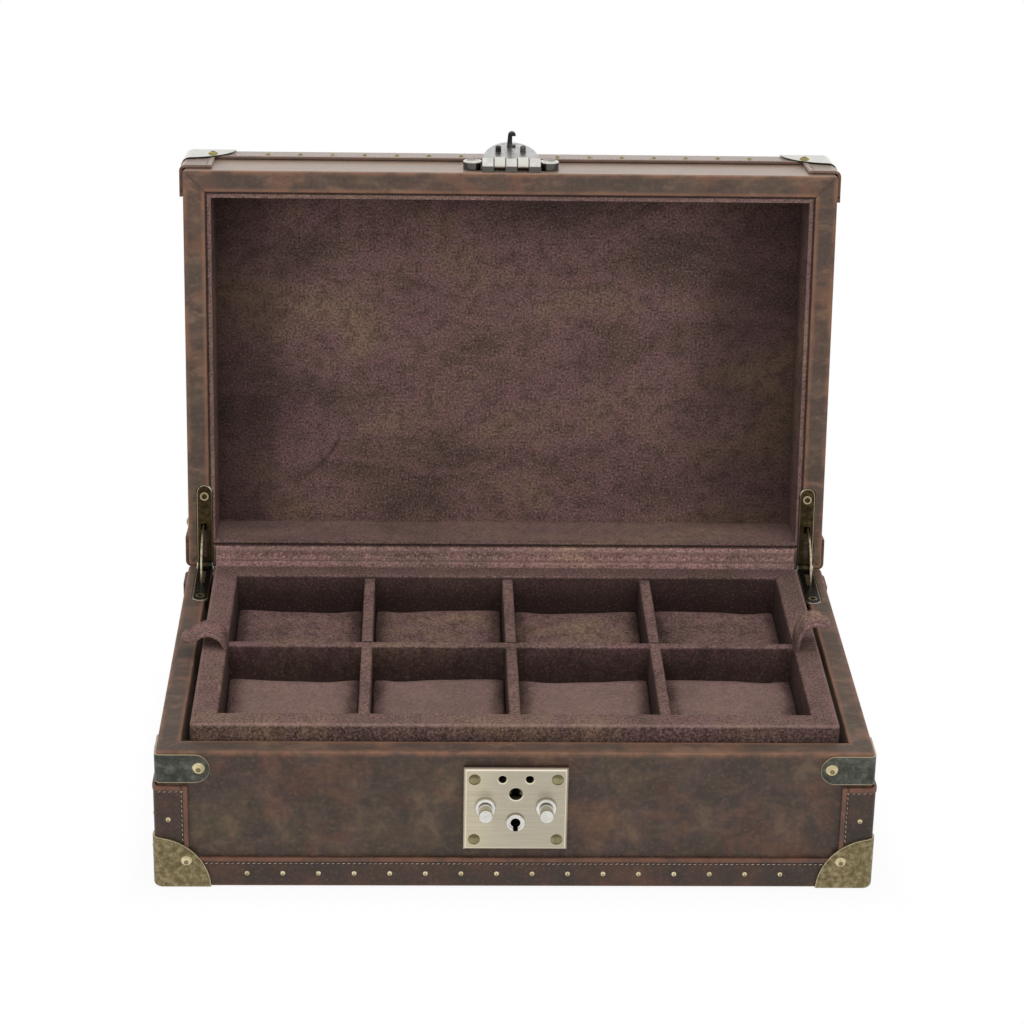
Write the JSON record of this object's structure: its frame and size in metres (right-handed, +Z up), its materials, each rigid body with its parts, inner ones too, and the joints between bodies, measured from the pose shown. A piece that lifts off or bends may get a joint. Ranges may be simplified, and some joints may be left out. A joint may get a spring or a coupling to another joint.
{
  "type": "watch display case",
  "caption": "Hinged leather travel case with a lift-out divided suede tray of watch cushions, brass corner caps, and a hasp that latches and locks onto a front plate.",
  "frame": {"origin": "centre of the case's underside, on the surface it stands on", "axes": "+X along the long front to the viewer's right, +Y from the front to the hinges at the back, +Z up; the lid is stored open"},
  "size_m": [0.3276, 0.2858, 0.2807],
  "materials": {
    "cover_leather": "waxed pull-up leather, mottled",
    "trim_leather": "waxed pull-up leather with rubbed rust-brown edges",
    "suede": "suede nap",
    "board": "raw fibre board",
    "antique_brass": "antique, darkened with bright edges",
    "dark_bronze": "dark bronzed",
    "polished_nickel": "polished nickel",
    "satin_plate": "warm horizontally brushed satin",
    "dark_steel": "blackened steel"
  },
  "bodies": {
    "base": {"base_front_board": "board", "base_back_board": "board", "base_left_board": "board", "base_right_board": "board", "base_floor_board": "board", "base_bottom_cover": "cover_leather", "base_leather_cover": "cover_leather", "base_floor_pad": "suede", "tray_ledges": "suede", "base_edge_binding": "trim_leather", "base_corner_strips": "trim_leather", "base_corner_brackets": "dark_bronze", "base_corner_caps": "antique_brass", "base_corner_rivets": "antique_brass", "base_nails": "antique_brass", "hinge_base_leaves": "dark_bronze", "hinge_base_screws": "polished_nickel", "hinge_pins": "polished_nickel", "lock_plate": "satin_plate", "lock_plate_rivets": "antique_brass", "lock_case": "dark_steel", "lock_collars": "polished_nickel", "button_springs": "dark_steel"},
    "lid": {"lid_front_board": "board", "lid_back_board": "board", "lid_left_board": "board", "lid_right_board": "board", "lid_top_board": "board", "lid_leather_cover": "cover_leather", "lid_lining_boards": "suede", "lid_lining_panel": "suede", "lid_edge_binding": "trim_leather", "lid_corner_strips": "trim_leather", "lid_corner_caps": "antique_brass", "lid_corner_rivets": "antique_brass", "lid_nails": "antique_brass", "hinge_gusset": "suede", "hinge_lid_leaves": "dark_bronze", "hinge_lid_screws": "polished_nickel", "hasp_leaf": "polished_nickel", "hasp_leaf_screws": "polished_nickel", "hasp_knuckle_pin": "polished_nickel"},
    "hasp": {"hasp_plate": "polished_nickel", "hasp_pins": "polished_nickel", "hasp_hook": "dark_steel"},
    "stays": {"stay_arcs": "polished_nickel"},
    "button_left": {"button_left": "polished_nickel"},
    "button_right": {"button_right": "polished_nickel"},
    "latch_left": {"latch_jaw_left": "dark_steel"},
    "latch_right": {"latch_jaw_right": "dark_steel"},
    "key": {"key_plug": "satin_plate", "lock_cam": "dark_steel"},
    "tray": {"tray_frame": "suede", "tray_floor": "suede", "tray_long_divider": "suede", "tray_cross_dividers": "suede", "tray_pads": "suede"},
    "tab_left": {"pull_tab_left": "suede"},
    "tab_right": {"pull_tab_right": "suede"}
  },
  "joints": [
    {"name": "lid_hinge", "type": "hinge", "parent": "base", "child": "lid", "pos_m": [0, 0.1005, 0.068], "axis": [-1, 0, 0], "range_deg": [-96.75, 0]},
    {"name": "stay_swing", "type": "hinge", "parent": "base", "child": "stays", "pos_m": [0, 0.1005, 0.068], "axis": [-1, 0, 0], "range_deg": [-48.4, 0]},
    {"name": "hasp_hinge", "type": "hinge", "parent": "lid", "child": "hasp", "pos_m": [0, 0.12909, 0.27104], "axis": [-1, 0, 0], "range_deg": [-169.5, 0]},
    {"name": "button_left_press", "type": "slide", "parent": "base", "child": "button_left", "axis": [0, 1, 0], "range_m": [0, 0.003], "stiffness_N_per_m": 300, "springref_m": -0.002},
    {"name": "button_right_press", "type": "slide", "parent": "base", "child": "button_right", "axis": [0, 1, 0], "range_m": [0, 0.003], "stiffness_N_per_m": 300, "springref_m": -0.002},
    {"name": "latch_left_slide", "type": "slide", "parent": "base", "child": "latch_left", "axis": [-1, 0, 0], "range_m": [0, 0.002]},
    {"name": "latch_right_slide", "type": "slide", "parent": "base", "child": "latch_right", "axis": [1, 0, 0], "range_m": [0, 0.002]},
    {"name": "key_turn", "type": "hinge", "parent": "base", "child": "key", "pos_m": [0, -0.1005, 0.035], "axis": [0, 1, 0], "range_deg": [0, 90]},
    {"name": "tray_lift", "type": "slide", "parent": "base", "child": "tray", "axis": [0, 0, 1], "range_m": [0, 0.09]},
    {"name": "tab_left_fold", "type": "hinge", "parent": "tray", "child": "tab_left", "pos_m": [-0.1354, -0.003, 0.0757], "axis": [0, -1, 0], "range_deg": [-80, 0]},
    {"name": "tab_right_fold", "type": "hinge", "parent": "tray", "child": "tab_right", "pos_m": [0.1354, -0.003, 0.0757], "axis": [0, 1, 0], "range_deg": [-80, 0]}
  ],
  "couplings": [
    {"joint": "stay_swing", "follows": "lid_hinge", "ratio": 0.5},
    {"joint": "tab_left_fold", "follows": "lid_hinge", "ratio": 0.826},
    {"joint": "tab_right_fold", "follows": "lid_hinge", "ratio": 0.826},
    {"joint": "latch_left_slide", "follows": "button_left_press", "ratio": 0.65},
    {"joint": "latch_right_slide", "follows": "button_right_press", "ratio": 0.65}
  ]
}
